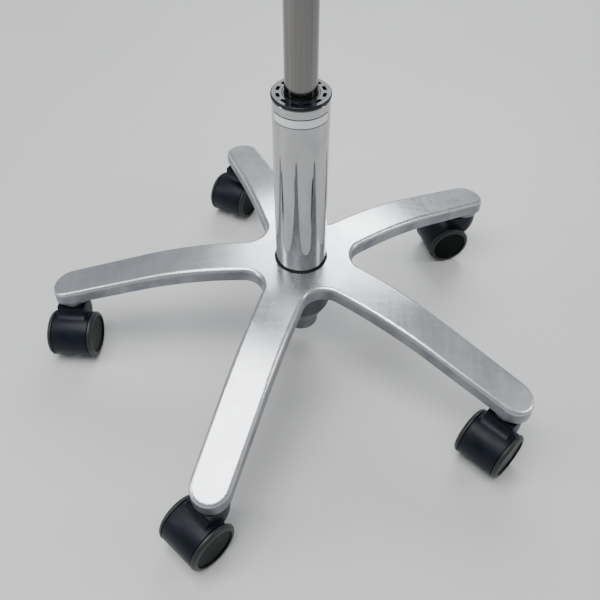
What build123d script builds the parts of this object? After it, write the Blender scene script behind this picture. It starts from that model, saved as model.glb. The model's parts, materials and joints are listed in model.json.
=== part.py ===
from build123d import *
import math
import os

# Mobile IV pole: a five-leg cast star base on twin-wheel castors, a lift column with a gas spring,
# a pole that slides and turns in the column, and a telescopic rod with a hook head.
# The origin is the point on the floor under the column's axis. +Z is up, and sizes are millimetres.

# The star base and its legs
LEG_COUNT = 5
LEG_AZIMUTHS = [252 + 72 * n for n in range(LEG_COUNT)]
STEM_CIRCLE_R = 297.0
TIP_R = 23.0
LEG_ROOT_X = 100.0
LEG_ROOT_R = 25.4
CROTCH_R = 26.0
HUB_TOP_Z = 147.5
FLAT_END_X = 60.0
CROWN_R = 500.0
CROWN_END_X = 200.0
LEG_DEPTH = 18.0
LEG_EDGE_R = 5.0
WALL = 5.0
RIB_HALF = 1.6
HUB_BOSS_R = 37.0
TIP_BOSS_R = 19.5
TIP_BOSS_TOP_Z = 93.0
SOCKET_R = 8.0
SLAB_HALF = 45.0
LEG_END_X = 330.0

# The castors: the stem is on the local Z axis, the axle trails along +X
TRAIL_AZIMUTHS = [-133.0, -134.5, -163.9, -118.2, -93.7]
WHEEL_R = 30.0
WHEEL_OUT_Y = 29.2
WHEEL_IN_Y = 23.6
WHEEL_DRUM_R = 24.5
WHEEL_RIM_OUT_R = 4.5
WHEEL_RIM_IN_R = 0.8
DISH_R = 24.0
DISH_DEPTH = 2.0
TRAIL = 28.0
HOOD_R = 29.5
HOOD_SKIN = 2.8
HOOD_HALF = 22.6
NECK_HALF = 17.5
WEB_HALF = 3.6
CASTOR_TOP_Z = 72.0
SWIVEL_GAP = 0.6
SADDLE_POINTS = [(21.0, CASTOR_TOP_Z), (23.8, 63.5), (31.5, 59.2)]
NECK_POINTS = [(8.0, 22.0), (-3.0, 34.0), (-13.0, 54.0), (-NECK_HALF, 63.0), (-NECK_HALF, CASTOR_TOP_Z)]
OPENING_POINTS = [(-30.0, -5.0), (70.0, -5.0), (70.0, 9.0), (46.0, 9.0), (14.0, 21.0), (-30.0, 21.0)]
STEM_R = 5.5
STEM_BOTTOM_Z = 56.0
STEM_TOP_Z = 93.0
STEM_FLANGE_R = 9.0
STEM_FLANGE = 0.4
GRIP_GROOVE_Z = 86.0
GRIP_GROOVE = 2.0
AXLE_R = 3.0
AXLE_LENGTH = 46.0

# The column
TUBE_R = 30.25
TUBE_WALL = 2.5
TUBE_BOTTOM_Z = 74.0
TUBE_TOP_Z = 370.5
TUBE_EDGE_R = 1.6
BORE_R = TUBE_R - TUBE_WALL
SEAL_WIDTH = 2.2
SEAL_LIP = 1.2
SEAL_HEIGHT = 1.6
COLLAR_R = 31.0
COLLAR_FLANGE = 3.6
COLLAR_EDGE = 1.2
COLLAR_BORE_R = 19.6
COLLAR_SKIRT_Z = 330.0
POCKET_COUNT = 12
POCKET_CIRCLE_R = 24.2
POCKET_WIDTH = 3.8
POCKET_LENGTH = 7.4
POCKET_DEPTH = 2.5
BUSH_CHAMFER = 0.9
LABEL_BOTTOM_Z = 349.5
LABEL_TOP_Z = 360.5
LABEL_SKIN = 0.2
LABEL_HALF_ANGLE = 62.0
FOOT_BOTTOM_Z = 28.0
FOOT_POINTS = [(18.0, FOOT_BOTTOM_Z), (22.0, 32.0), (22.5, 45.0), (35.0, 70.0), (35.5, TUBE_BOTTOM_Z)]
FOOT_RECESS_R = 15.0
NUT_Z = 34.0
NUT_HEIGHT = 10.0
NUT_HALF_FLATS = 12.0
WASHER_R = 14.5
WASHER_HEIGHT = 2.0
FIT = 0.05

# The gas spring
SPRING_R = 14.0
SPRING_WALL = 2.0
SPRING_BOTTOM_Z = 92.0
SPRING_FLOOR = 8.0
SPRING_TOP_Z = 346.0
SPRING_HEAD = 14.0
SPIGOT_R = 8.0
SPIGOT_BOTTOM_Z = 33.0
PISTON_ROD_R = 5.0
PISTON_Z = 216.0
PISTON_HEIGHT = 12.0
ROD_STUB = 2.0
THRUST_R = 14.8
THRUST_HEIGHT = 3.0
THRUST_HUB_R = 9.0
THRUST_HUB_HEIGHT = 6.0

# The pole, its clamp and the knob
POLE_R = 17.0
POLE_WALL = 1.7
POLE_BOTTOM_Z = 176.0
POLE_TOP_Z = 880.0
POLE_CHAMFER = 0.5
PLUG_Z = 450.0
PLUG_HEIGHT = 22.0
GUIDE_Z = 178.0
GUIDE_HEIGHT = 26.0
GUIDE_GROOVE = 10.0
GUIDE_GROOVE_DEPTH = 2.0
CLAMP_BOTTOM_Z = 846.0
CLAMP_TOP_Z = 908.0
CLAMP_POINTS = [(15.5, CLAMP_TOP_Z), (18.0, 905.0), (22.0, 876.0), (22.5, 849.0), (21.0, CLAMP_BOTTOM_Z)]
CLAMP_BOSS_R = 9.0
CLAMP_BOSS_END_X = 31.0
KNOB_Z = 894.0
KNOB_X = 35.0
KNOB_R = 14.5
KNOB_HEIGHT = 15.0
KNOB_EDGE_R = 2.2
KNOB_HUB_R = 8.0
KNOB_HUB_HEIGHT = 3.0
LOBE_COUNT = 5
LOBE_R = 7.0
LOBE_CIRCLE_R = 12.5
STUD_R = 4.0
STUD_LENGTH = 33.0
STUD_GAP = 0.5

# The rod and the hook head
ROD_R = 11.0
ROD_WALL = 1.5
ROD_BOTTOM_Z = 490.0
ROD_SEAT = 12.0
HEAD_Z = 1240.0
HEAD_HEIGHT = 22.0
HEAD_R = 19.0
HEAD_EDGE_R = 2.0
HOOK_COUNT = 4
HOOK_R = 3.5
HOOK_LEVEL_Z = HEAD_Z + 16.0
HOOK_SEAT = 7.0
HOOK_REACH = 92.0
HOOK_BEND_R = 16.0
HOOK_TIP = 26.0
CAP_POINTS = [(12.0, 0.0), (12.0, 3.0), (9.0, 7.0), (4.0, 9.0), (0.0, 9.4)]


def disc(radius, low, high):
    """A solid cylinder on the Z axis between two heights."""
    return Pos(0, 0, (low + high) / 2) * Cylinder(radius, high - low)


def ring(outer, inner, low, high):
    """A hollow cylinder on the Z axis between two heights."""
    return disc(outer, low, high) - disc(inner, low - 1, high + 1)


def turned(*points):
    """The solid swept by a closed (radius, height) outline about the Z axis."""
    return revolve(Plane.XZ * make_face(Polyline(*points, close=True)), Axis.Z)


def spread(solid, angles):
    """One copy of a solid at each angle about the Z axis."""
    return [Rot(0, 0, angle) * solid for angle in angles]


# The star base

def crown_drop(x):
    """How far the top of a leg lies under the hub's top, at x along the leg."""
    if x <= FLAT_END_X:
        return 0.0
    arc_x = min(x, CROWN_END_X) - FLAT_END_X
    arc_drop = CROWN_R - math.sqrt(CROWN_R**2 - arc_x**2)
    slope = (CROWN_END_X - FLAT_END_X) / math.sqrt(CROWN_R**2 - (CROWN_END_X - FLAT_END_X) ** 2)
    return arc_drop + slope * max(x - CROWN_END_X, 0.0)


def above_leg(shift):
    """The space over one leg's top line, lowered by shift, as a slab across the leg."""
    top = HUB_TOP_Z - shift
    arc_mid_x = (FLAT_END_X + CROWN_END_X) / 2
    points = [(x, top - crown_drop(x)) for x in (FLAT_END_X, arc_mid_x, CROWN_END_X, LEG_END_X)]
    over = 2 * HUB_TOP_Z
    sides = Polyline(points[2], points[3], (LEG_END_X, over), (FLAT_END_X, over), points[0])
    line = ThreePointArc(*points[:3]) + sides
    return extrude(Plane.XZ * make_face(line), SLAB_HALF, both=True)


def below_leg(shift):
    """The space under one leg's top line, lowered by shift, as a slab across the leg."""
    top = HUB_TOP_Z - shift
    slab = Pos(LEG_END_X / 2, 0, top / 2) * Box(LEG_END_X, 2 * SLAB_HALF, top)
    return slab - above_leg(shift)


def leg_plan():
    """One leg seen from above: a wide root and a round tip, joined by tangent lines."""
    sine = (LEG_ROOT_R - TIP_R) / (STEM_CIRCLE_R - LEG_ROOT_X)
    cosine = math.sqrt(1 - sine**2)
    root = (LEG_ROOT_X + LEG_ROOT_R * sine, LEG_ROOT_R * cosine)
    tip = (STEM_CIRCLE_R + TIP_R * sine, TIP_R * cosine)
    start_y = root[1] + root[0] * sine / cosine
    side = Polyline((tip[0], -tip[1]), (0, -start_y), (0, start_y), (tip[0], tip[1]))
    return make_face(side + ThreePointArc(tip, (STEM_CIRCLE_R + TIP_R, 0), (tip[0], -tip[1])))


def star_plan(inset=0.0):
    """The five legs seen from above, with the corners between them rounded."""
    plan = Sketch() + spread(leg_plan(), LEG_AZIMUTHS)
    corners = [v for v in plan.vertices() if math.hypot(v.X, v.Y) < LEG_ROOT_X]
    plan = fillet(corners, CROTCH_R)
    return offset(plan, -inset) if inset else plan


def star_blank():
    """The casting's outer form before it is cored: crowned legs with rounded top edges."""
    blank = extrude(star_plan(), HUB_TOP_Z)
    for cut in spread(above_leg(0), LEG_AZIMUTHS) + spread(below_leg(LEG_DEPTH), LEG_AZIMUTHS):
        blank -= cut
    tops = [f for f in blank.faces() if f.normal_at().Z > 0.5]
    walls = [f for f in blank.faces() if abs(f.normal_at().Z) < 0.1]
    wall_edges = [e for f in walls for e in f.edges()]
    rims = [e for f in tops for e in f.edges() if any(e.is_same(w) for w in wall_edges)]
    return fillet(rims, LEG_EDGE_R)


def star_base():
    """The casting: a star of crowned legs, hollow from below, with a rib along each leg."""
    channel = extrude(star_plan(WALL), HUB_TOP_Z)
    for cut in spread(above_leg(WALL), LEG_AZIMUTHS):
        channel -= cut
    channel -= disc(HUB_BOSS_R - 1, 0, HUB_TOP_Z)
    channel = channel & disc(LEG_END_X, 0, HUB_TOP_Z - WALL)
    rib = Pos(STEM_CIRCLE_R / 2, 0, HUB_TOP_Z / 2) * Box(STEM_CIRCLE_R, 2 * RIB_HALF, HUB_TOP_Z)
    for rib_at in spread(rib, LEG_AZIMUTHS):
        channel -= rib_at
    base = star_blank() - channel
    tip_boss = Pos(STEM_CIRCLE_R, 0, 0) * disc(TIP_BOSS_R, CASTOR_TOP_Z + SWIVEL_GAP, TIP_BOSS_TOP_Z)
    socket_hole = Pos(STEM_CIRCLE_R, 0, 0) * disc(SOCKET_R + FIT, 0, STEM_TOP_Z + 1)
    base += disc(HUB_BOSS_R, TUBE_BOTTOM_Z, HUB_TOP_Z - WALL / 2)
    for boss in spread(tip_boss, LEG_AZIMUTHS):
        base += boss
    for hole in spread(socket_hole, LEG_AZIMUTHS):
        base -= hole
    return base - disc(TUBE_R + FIT, 0, HUB_TOP_Z + 1)


def stem_sockets():
    """The five sleeves in the leg tips that the castors' stems turn in."""
    sleeve = ring(SOCKET_R, STEM_R + FIT, CASTOR_TOP_Z + SWIVEL_GAP, STEM_TOP_Z + 1)
    return Compound(spread(Pos(STEM_CIRCLE_R, 0, 0) * sleeve, LEG_AZIMUTHS))


# The column

def column_tube():
    tube = ring(TUBE_R, BORE_R, TUBE_BOTTOM_Z, TUBE_TOP_Z)
    rims = tube.edges().filter_by(GeomType.CIRCLE).group_by(Axis.Z)[-1]
    return fillet([e for e in rims if e.radius > TUBE_R - 0.1], TUBE_EDGE_R)


def column_seal():
    """The rubber lip that closes the gap between the tube and the casting."""
    bore = TUBE_R + FIT
    top = HUB_TOP_Z + SEAL_HEIGHT
    return turned((bore, HUB_TOP_Z), (TUBE_R + SEAL_WIDTH, HUB_TOP_Z), (TUBE_R + SEAL_LIP, top), (bore, top))


def column_collar():
    """The black ring in the column's mouth: a flat flange with a ring of pockets, on a skirt."""
    skirt = BORE_R - FIT
    top = TUBE_TOP_Z + COLLAR_FLANGE
    body = turned(
        (COLLAR_BORE_R, COLLAR_SKIRT_Z), (skirt, COLLAR_SKIRT_Z), (skirt, TUBE_TOP_Z), (COLLAR_R, TUBE_TOP_Z),
        (COLLAR_R, top - COLLAR_EDGE), (COLLAR_R - COLLAR_EDGE, top), (COLLAR_BORE_R, top),
    )
    pocket = Pos(POCKET_CIRCLE_R, 0, top) * Box(POCKET_WIDTH, POCKET_LENGTH, 2 * POCKET_DEPTH)
    pitch = 360 / POCKET_COUNT
    for hole in spread(pocket, [pitch * (n + 0.5) for n in range(POCKET_COUNT)]):
        body -= hole
    return body


def guide_bush_upper():
    """The plastic bearing that the pole slides and turns in, held in the collar."""
    bore = POLE_R + FIT
    outer = COLLAR_BORE_R - FIT
    top = TUBE_TOP_Z + COLLAR_FLANGE
    return turned(
        (bore, COLLAR_SKIRT_Z), (outer, COLLAR_SKIRT_Z), (outer, top), (bore + BUSH_CHAMFER, top),
        (bore, top - BUSH_CHAMFER),
    )


def column_label():
    """A blank foil band that wraps the front of the tube just under its mouth."""
    band = ring(TUBE_R + LABEL_SKIN, TUBE_R + FIT, LABEL_BOTTOM_Z, LABEL_TOP_Z)
    reach = 2 * TUBE_R
    across = reach * math.sin(math.radians(LABEL_HALF_ANGLE))
    ahead = reach * math.cos(math.radians(LABEL_HALF_ANGLE))
    corners = [(0, 0), (-across, -ahead), (-across, -reach), (across, -reach), (across, -ahead)]
    return band & extrude(make_face(Polyline(*corners, close=True)), TUBE_TOP_Z)


def column_foot():
    """The plug in the tube's lower end, which carries the gas spring and shows under the hub."""
    plug = BORE_R - FIT
    foot = turned(
        (0, FOOT_BOTTOM_Z), *FOOT_POINTS, (plug, TUBE_BOTTOM_Z), (plug, SPRING_BOTTOM_Z),
        (0, SPRING_BOTTOM_Z),
    )
    foot -= disc(SPIGOT_R + FIT, 0, SPRING_BOTTOM_Z + 1)
    return foot - disc(FOOT_RECESS_R, 0, NUT_Z + NUT_HEIGHT + WASHER_HEIGHT)


def foot_washer():
    return ring(WASHER_R, SPIGOT_R + FIT, NUT_Z + NUT_HEIGHT, NUT_Z + NUT_HEIGHT + WASHER_HEIGHT)


def foot_nut():
    """The nut that pulls the gas spring's spigot down into the foot."""
    hexagon = extrude(RegularPolygon(NUT_HALF_FLATS, 6, major_radius=False), NUT_HEIGHT)
    return Pos(0, 0, NUT_Z) * hexagon - disc(SPIGOT_R + FIT, 0, SPRING_BOTTOM_Z)


def gas_spring_cylinder():
    """The pressure tube, closed at both ends round the rod, on a threaded spigot."""
    shell = disc(SPRING_R, SPRING_BOTTOM_Z, SPRING_TOP_Z)
    shell -= disc(SPRING_R - SPRING_WALL, SPRING_BOTTOM_Z + SPRING_FLOOR, SPRING_TOP_Z - SPRING_HEAD)
    shell += disc(SPIGOT_R, SPIGOT_BOTTOM_Z, SPRING_BOTTOM_Z)
    return shell - disc(PISTON_ROD_R + FIT, SPRING_TOP_Z - SPRING_HEAD - 1, SPRING_TOP_Z + 1)


# The lift: what the gas spring raises without turning

def gas_spring_rod():
    return disc(PISTON_ROD_R, PISTON_Z - ROD_STUB, PLUG_Z - THRUST_HUB_HEIGHT)


def gas_spring_piston():
    return ring(SPRING_R - SPRING_WALL - FIT, PISTON_ROD_R, PISTON_Z, PISTON_Z + PISTON_HEIGHT)


def thrust_disc():
    """The hard disc on the rod's end that the turning pole rests on."""
    under = PLUG_Z - THRUST_HEIGHT
    disc_and_hub = disc(THRUST_R, under, PLUG_Z) + disc(THRUST_HUB_R, under - THRUST_HUB_HEIGHT, under)
    return disc_and_hub - disc(PISTON_ROD_R, PISTON_Z, PLUG_Z - THRUST_HUB_HEIGHT)


# The pole

def inner_pole():
    pole = ring(POLE_R, POLE_R - POLE_WALL, POLE_BOTTOM_Z, POLE_TOP_Z)
    return chamfer(pole.edges().filter_by(GeomType.CIRCLE).group_by(Axis.Z)[-1], POLE_CHAMFER)


def pole_plug():
    """The steel plug pressed into the pole, which sits on the thrust disc."""
    return disc(POLE_R - POLE_WALL - FIT, PLUG_Z, PLUG_Z + PLUG_HEIGHT)


def pole_guide_ring():
    """The ring on the pole's lower end that runs inside the column's tube."""
    outer = BORE_R - 2 * FIT
    middle = GUIDE_Z + GUIDE_HEIGHT / 2
    half = GUIDE_GROOVE / 2
    body = ring(outer, POLE_R, GUIDE_Z, GUIDE_Z + GUIDE_HEIGHT)
    return body - ring(BORE_R, outer - GUIDE_GROOVE_DEPTH, middle - half, middle + half)


def clamp_collar():
    """The moulded collar on the pole's top, with the boss for the locking knob."""
    collar = turned(
        (ROD_R + FIT, POLE_TOP_Z), (ROD_R + FIT, CLAMP_TOP_Z), *CLAMP_POINTS, (POLE_R, CLAMP_BOTTOM_Z),
        (POLE_R, POLE_TOP_Z),
    )
    boss = Pos(CLAMP_BOSS_END_X / 2, 0, KNOB_Z) * Rot(0, 90, 0) * Cylinder(CLAMP_BOSS_R, CLAMP_BOSS_END_X)
    collar += boss & disc(2 * CLAMP_BOSS_END_X, POLE_TOP_Z, CLAMP_TOP_Z)
    collar -= disc(ROD_R + FIT, POLE_TOP_Z, CLAMP_TOP_Z + 1)
    return collar - Pos(KNOB_X / 2, 0, KNOB_Z) * Rot(0, 90, 0) * Cylinder(STUD_R + FIT, KNOB_X)


def lock_stud():
    """The threaded stud whose end presses on the rod."""
    return Pos(ROD_R + STUD_GAP + STUD_LENGTH / 2, 0, KNOB_Z) * Rot(0, 90, 0) * Cylinder(STUD_R, STUD_LENGTH)


def lock_knob():
    """A lobed knob on the stud."""
    lobes = Sketch() + Circle(KNOB_R)
    lobes += spread(Pos(LOBE_CIRCLE_R, 0) * Circle(LOBE_R), [360 / LOBE_COUNT * n for n in range(LOBE_COUNT)])
    knob = extrude(lobes, KNOB_HEIGHT)
    knob = fillet(knob.faces().sort_by(Axis.Z)[-1].edges(), KNOB_EDGE_R)
    knob += disc(KNOB_HUB_R, -KNOB_HUB_HEIGHT, 0)
    stud_end = ROD_R + STUD_GAP + STUD_LENGTH - KNOB_X
    knob -= disc(STUD_R, -KNOB_HUB_HEIGHT - 1, stud_end)
    return Pos(KNOB_X, 0, KNOB_Z) * Rot(0, 90, 0) * knob


# The rod and the hook head

def upper_rod():
    return ring(ROD_R, ROD_R - ROD_WALL, ROD_BOTTOM_Z, HEAD_Z + ROD_SEAT)


def hook_angles():
    return [360 / HOOK_COUNT * n for n in range(HOOK_COUNT)]


def hook_hub():
    """The turned hub on the rod's top, with a blind hole for each hook."""
    hub = disc(HEAD_R, HEAD_Z, HEAD_Z + HEAD_HEIGHT) - disc(ROD_R, HEAD_Z - 1, HEAD_Z + ROD_SEAT)
    rims = hub.edges().filter_by(GeomType.CIRCLE)
    hub = fillet([e for e in rims if e.radius > HEAD_R - 0.1], HEAD_EDGE_R)
    hole = Pos(HEAD_R, 0, HOOK_LEVEL_Z) * Rot(0, 90, 0) * Cylinder(HOOK_R, 2 * HOOK_SEAT)
    for cut in spread(hole, hook_angles()):
        hub -= cut
    return hub


def hook():
    """A bent rod that runs outwards and turns up into a round-ended tip."""
    start_x = HEAD_R - HOOK_SEAT
    bend_x = HOOK_REACH - HOOK_BEND_R
    bend_z = HOOK_LEVEL_Z + HOOK_BEND_R
    path = Line((start_x, HOOK_LEVEL_Z), (bend_x, HOOK_LEVEL_Z))
    path += RadiusArc((bend_x, HOOK_LEVEL_Z), (HOOK_REACH, bend_z), -HOOK_BEND_R)
    path += Line((HOOK_REACH, bend_z), (HOOK_REACH, bend_z + HOOK_TIP))
    section = Plane(origin=(start_x, 0, HOOK_LEVEL_Z), z_dir=(1, 0, 0)) * Circle(HOOK_R)
    rod = sweep(section, Plane.XZ * path)
    return rod + Pos(HOOK_REACH, 0, bend_z + HOOK_TIP) * Sphere(HOOK_R)


def top_cap():
    """The domed cap over the hub."""
    low = HEAD_Z + HEAD_HEIGHT
    return turned((0, low), *[(radius, low + height) for radius, height in CAP_POINTS])


# A castor, made with its stem on the Z axis and its axle towards +X

def across(outline, half):
    """An (x, z) outline thickened equally to both sides of the castor's middle plane."""
    return extrude(Plane.XZ * outline, half, both=True)


def on_axle(solid):
    """Lays a solid that was made on the Z axis along the castor's axle."""
    return Pos(TRAIL, 0, WHEEL_R) * Rot(90, 0, 0) * solid


def castor_hood():
    """The moulded body: a neck round the stem, a middle web and a curved skin over the wheels."""
    opening = make_face(Polyline(*OPENING_POINTS, close=True))
    drum = Pos(TRAIL, WHEEL_R) * Circle(HOOD_R)
    front = Polyline(SADDLE_POINTS[-1], (TRAIL, WHEEL_R), *NECK_POINTS, SADDLE_POINTS[0])
    neck = make_face(ThreePointArc(*SADDLE_POINTS) + front)
    plan = Circle(NECK_HALF) + Pos(TRAIL, 0) * Rectangle(2 * TRAIL, 2 * NECK_HALF)
    body = across(drum - opening, HOOD_HALF)
    body += across(neck - opening, NECK_HALF) & extrude(plan, CASTOR_TOP_Z)
    well = on_axle(Cylinder(HOOD_R - HOOD_SKIN, 2 * HOOD_HALF + 2))
    well -= Pos(TRAIL, 0, WHEEL_R) * Box(2 * HOOD_R, 2 * WEB_HALF, 2 * HOOD_R)
    body -= well
    body -= disc(STEM_R, STEM_BOTTOM_Z, CASTOR_TOP_Z + 1)
    return body - on_axle(Cylinder(AXLE_R, AXLE_LENGTH))


def castor_stem():
    """The steel stem, with a thin flange that carries the load and a groove for its grip ring."""
    stem = disc(STEM_R, STEM_BOTTOM_Z, STEM_TOP_Z)
    stem += disc(STEM_FLANGE_R, CASTOR_TOP_Z, CASTOR_TOP_Z + STEM_FLANGE)
    return stem - ring(STEM_R + 1, STEM_R - STEM_FLANGE, GRIP_GROOVE_Z, GRIP_GROOVE_Z + GRIP_GROOVE)


def castor_axle():
    return on_axle(Cylinder(AXLE_R, AXLE_LENGTH))


def castor_wheel(side):
    """One wheel: a drum under the hood, a rounded tread outside it and a dished face."""
    bore = AXLE_R + FIT
    bore_end = AXLE_LENGTH / 2 + 0.4
    dish = WHEEL_OUT_Y - DISH_DEPTH
    hub = WEB_HALF + SWIVEL_GAP
    drum = [(bore, hub), (WHEEL_DRUM_R, hub), (WHEEL_DRUM_R, WHEEL_IN_Y), (WHEEL_R, WHEEL_IN_Y)]
    face = [(WHEEL_R, WHEEL_OUT_Y), (DISH_R, WHEEL_OUT_Y), (DISH_R - 1, dish), (0, dish)]
    middle = [(0, bore_end), (bore, bore_end)]
    wheel = turned(*drum, *face, *middle)
    for radius, end in ((WHEEL_RIM_OUT_R, -1), (WHEEL_RIM_IN_R, 0)):
        rims = [e for e in wheel.edges().filter_by(GeomType.CIRCLE) if e.radius > WHEEL_R - 0.01]
        wheel = fillet(sorted(rims, key=lambda e: e.center().Z)[end], radius)
    return Pos(TRAIL, 0, WHEEL_R) * Rot(-90 * side, 0, 0) * wheel


def castor_parts(number):
    """All of one castor's pieces, in place under its leg and turned to its trail direction."""
    leg = math.radians(LEG_AZIMUTHS[number - 1])
    stem_at = Pos(STEM_CIRCLE_R * math.cos(leg), STEM_CIRCLE_R * math.sin(leg), 0)
    place = stem_at * Rot(0, 0, TRAIL_AZIMUTHS[number - 1])
    pieces = {
        "stem": castor_stem(), "hood": castor_hood(), "axle": castor_axle(),
        "wheel_left": castor_wheel(1), "wheel_right": castor_wheel(-1),
    }
    return {f"castor_{number}_{name}": place * solid for name, solid in pieces.items()}


def write(name, shape):
    shape.label = name
    export_step(shape, f"parts/{name}.step")


def main():
    os.makedirs("parts", exist_ok=True)
    makers = [
        star_base, stem_sockets, column_tube, column_seal, column_collar, guide_bush_upper, column_label,
        column_foot, foot_washer, foot_nut, gas_spring_cylinder, gas_spring_rod, gas_spring_piston,
        thrust_disc, inner_pole, pole_plug, pole_guide_ring, clamp_collar, lock_stud, lock_knob,
        upper_rod, hook_hub, top_cap,
    ]
    for maker in makers:
        write(maker.__name__, maker())
    for number, angle in enumerate(hook_angles(), start=1):
        write(f"hook_{number}", Rot(0, 0, angle) * hook())
    for number in range(1, LEG_COUNT + 1):
        for name, solid in castor_parts(number).items():
            write(name, solid)


main()
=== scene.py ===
# %% [markdown]
# # A mobile IV pole, finished in Blender
# The frame already holds every part of the stand at its real size and place, with its joints. This
# lesson gives the parts their looks. Shapes that the frame keeps plain, such as the castors, the
# column and the collar, are modelled again here and ride on the same bodies. Everything is
# in metres, and every place is worked out from the frame.

# %% Load the frame
import json
import math

import bpy
from mathutils import Matrix, Vector


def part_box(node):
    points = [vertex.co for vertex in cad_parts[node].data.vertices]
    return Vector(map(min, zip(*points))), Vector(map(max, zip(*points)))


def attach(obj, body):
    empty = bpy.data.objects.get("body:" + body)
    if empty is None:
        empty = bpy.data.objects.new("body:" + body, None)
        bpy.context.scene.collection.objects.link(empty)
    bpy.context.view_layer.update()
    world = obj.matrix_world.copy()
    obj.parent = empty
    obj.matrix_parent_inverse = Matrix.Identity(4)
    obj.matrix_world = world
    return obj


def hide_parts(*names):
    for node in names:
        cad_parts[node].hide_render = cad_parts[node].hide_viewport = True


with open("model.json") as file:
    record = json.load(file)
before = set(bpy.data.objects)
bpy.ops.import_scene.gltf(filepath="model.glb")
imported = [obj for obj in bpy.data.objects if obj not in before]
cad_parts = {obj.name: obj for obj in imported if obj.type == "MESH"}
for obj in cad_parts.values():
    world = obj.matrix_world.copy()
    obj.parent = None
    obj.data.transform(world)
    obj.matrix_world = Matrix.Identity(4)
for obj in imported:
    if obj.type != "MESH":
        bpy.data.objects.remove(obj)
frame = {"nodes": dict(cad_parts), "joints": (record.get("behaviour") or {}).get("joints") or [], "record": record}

for leftover in ("Cube", "Light", "Camera"):
    if leftover in bpy.data.objects:
        bpy.data.objects.remove(bpy.data.objects[leftover])

MM = 0.001
FIT = 0.05 * MM
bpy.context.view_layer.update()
nodes = frame["nodes"]
joints = {joint["name"]: joint for joint in frame["joints"]}

# %% [markdown]
# ## Small helpers
# An operator works on whatever is selected, and a new primitive comes in selected all over. So each
# piece starts with nothing selected, and faces and edges are then picked by their place or normal.
# A finished piece keeps its place in its mesh, with its object at the origin.

# %% Helpers for objects
CLOSE_ENOUGH = 0.01 * MM
FACING = 0.9
ALL_ROUND = 2 * math.pi


def start(name, add, **settings):
    """Adds a primitive with nothing else selected, bakes its place into its mesh and names it."""
    bpy.ops.object.select_all(action="DESELECT")
    add(**settings)
    piece = bpy.context.object
    bpy.ops.object.transform_apply(location=True, rotation=True, scale=True)
    piece.name = name
    piece.data.name = name
    return piece


def cylinder(name, radius, low, high, vertices):
    """A cylinder on the Z axis between two heights, with one face on each end."""
    return start(name, bpy.ops.mesh.primitive_cylinder_add, vertices=vertices, radius=radius,
                 depth=high - low, location=(0, 0, (low + high) / 2), end_fill_type="NGON")


def choose(piece):
    """Makes a piece the only selected object and the active one."""
    bpy.ops.object.select_all(action="DESELECT")
    piece.select_set(True)
    bpy.context.view_layer.objects.active = piece


def edit(piece, mode):
    """Opens a piece in edit mode with nothing selected."""
    bpy.ops.object.mode_set(mode="OBJECT")
    choose(piece)
    bpy.ops.object.mode_set(mode="EDIT")
    bpy.ops.mesh.select_mode(type=mode)
    bpy.ops.mesh.select_all(action="DESELECT")


def close():
    """Leaves edit mode."""
    bpy.ops.object.mode_set(mode="OBJECT")


def pick_faces(piece, test):
    """Selects the faces whose centre and normal pass a test, and returns how many there are."""
    edit(piece, "FACE")
    close()
    found = 0
    for face in piece.data.polygons:
        face.select = bool(test(face.center, face.normal))
        found += face.select
    bpy.ops.object.mode_set(mode="EDIT")
    return found


def pick_edges(piece, test):
    """Selects the edges whose two ends both pass a test, and returns how many there are."""
    edit(piece, "EDGE")
    close()
    points = piece.data.vertices
    found = 0
    for line in piece.data.edges:
        line.select = all(test(points[index].co) for index in line.vertices)
        found += line.select
    bpy.ops.object.mode_set(mode="EDIT")
    return found


def extrude(distance):
    """Extrudes the selected faces along their own normals."""
    bpy.ops.mesh.extrude_region_shrink_fatten(TRANSFORM_OT_shrink_fatten={"value": distance})


def keep_above(piece, point, normal):
    """Cuts a piece by a plane, closes the cut and keeps the side that the normal points to."""
    edit(piece, "VERT")
    bpy.ops.mesh.select_all(action="SELECT")
    bpy.ops.mesh.bisect(plane_co=point, plane_no=normal, clear_inner=True, use_fill=True)
    close()


def finish_mesh(piece, angle=35.0):
    """Merges doubles, turns every face outwards and smooths all but the sharp edges."""
    edit(piece, "VERT")
    bpy.ops.mesh.select_all(action="SELECT")
    bpy.ops.mesh.remove_doubles(threshold=1e-6)
    bpy.ops.mesh.normals_make_consistent(inside=False)
    close()
    bpy.ops.object.shade_smooth_by_angle(angle=math.radians(angle))
    return piece


def apply(piece, kind, **settings):
    """Adds a modifier, sets it and applies it."""
    choose(piece)
    modifier = piece.modifiers.new(kind.title(), kind)
    for key, value in settings.items():
        setattr(modifier, key, value)
    bpy.ops.object.modifier_apply(modifier=modifier.name)


def combine(piece, other, operation):
    """Joins or cuts a piece with another by a Boolean modifier, then removes the other."""
    apply(piece, "BOOLEAN", operation=operation, object=other, solver="EXACT")
    bpy.data.objects.remove(other)


def copy_piece(piece, name, matrix):
    """A copy with its own mesh, moved by a matrix inside the mesh."""
    twin = piece.copy()
    twin.data = piece.data.copy()
    twin.data.transform(matrix)
    twin.name = name
    twin.data.name = name
    bpy.context.scene.collection.objects.link(twin)
    return twin


def turned(name, outline, steps=128):
    """Spins a closed (radius, height) outline about the Z axis.

    A circle with one vertex for each corner is the start. Its vertices are moved to the corners.
    """
    piece = start(name, bpy.ops.mesh.primitive_circle_add, vertices=len(outline), radius=1.0,
                  fill_type="NOTHING")
    for vertex, (radius, height) in zip(piece.data.vertices, outline):
        vertex.co = (radius, 0, height)
    edit(piece, "VERT")
    bpy.ops.mesh.select_all(action="SELECT")
    bpy.ops.mesh.spin(steps=steps, angle=ALL_ROUND, center=(0, 0, 0), axis=(0, 0, 1),
                      use_auto_merge=True)
    close()
    return finish_mesh(piece)


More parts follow.
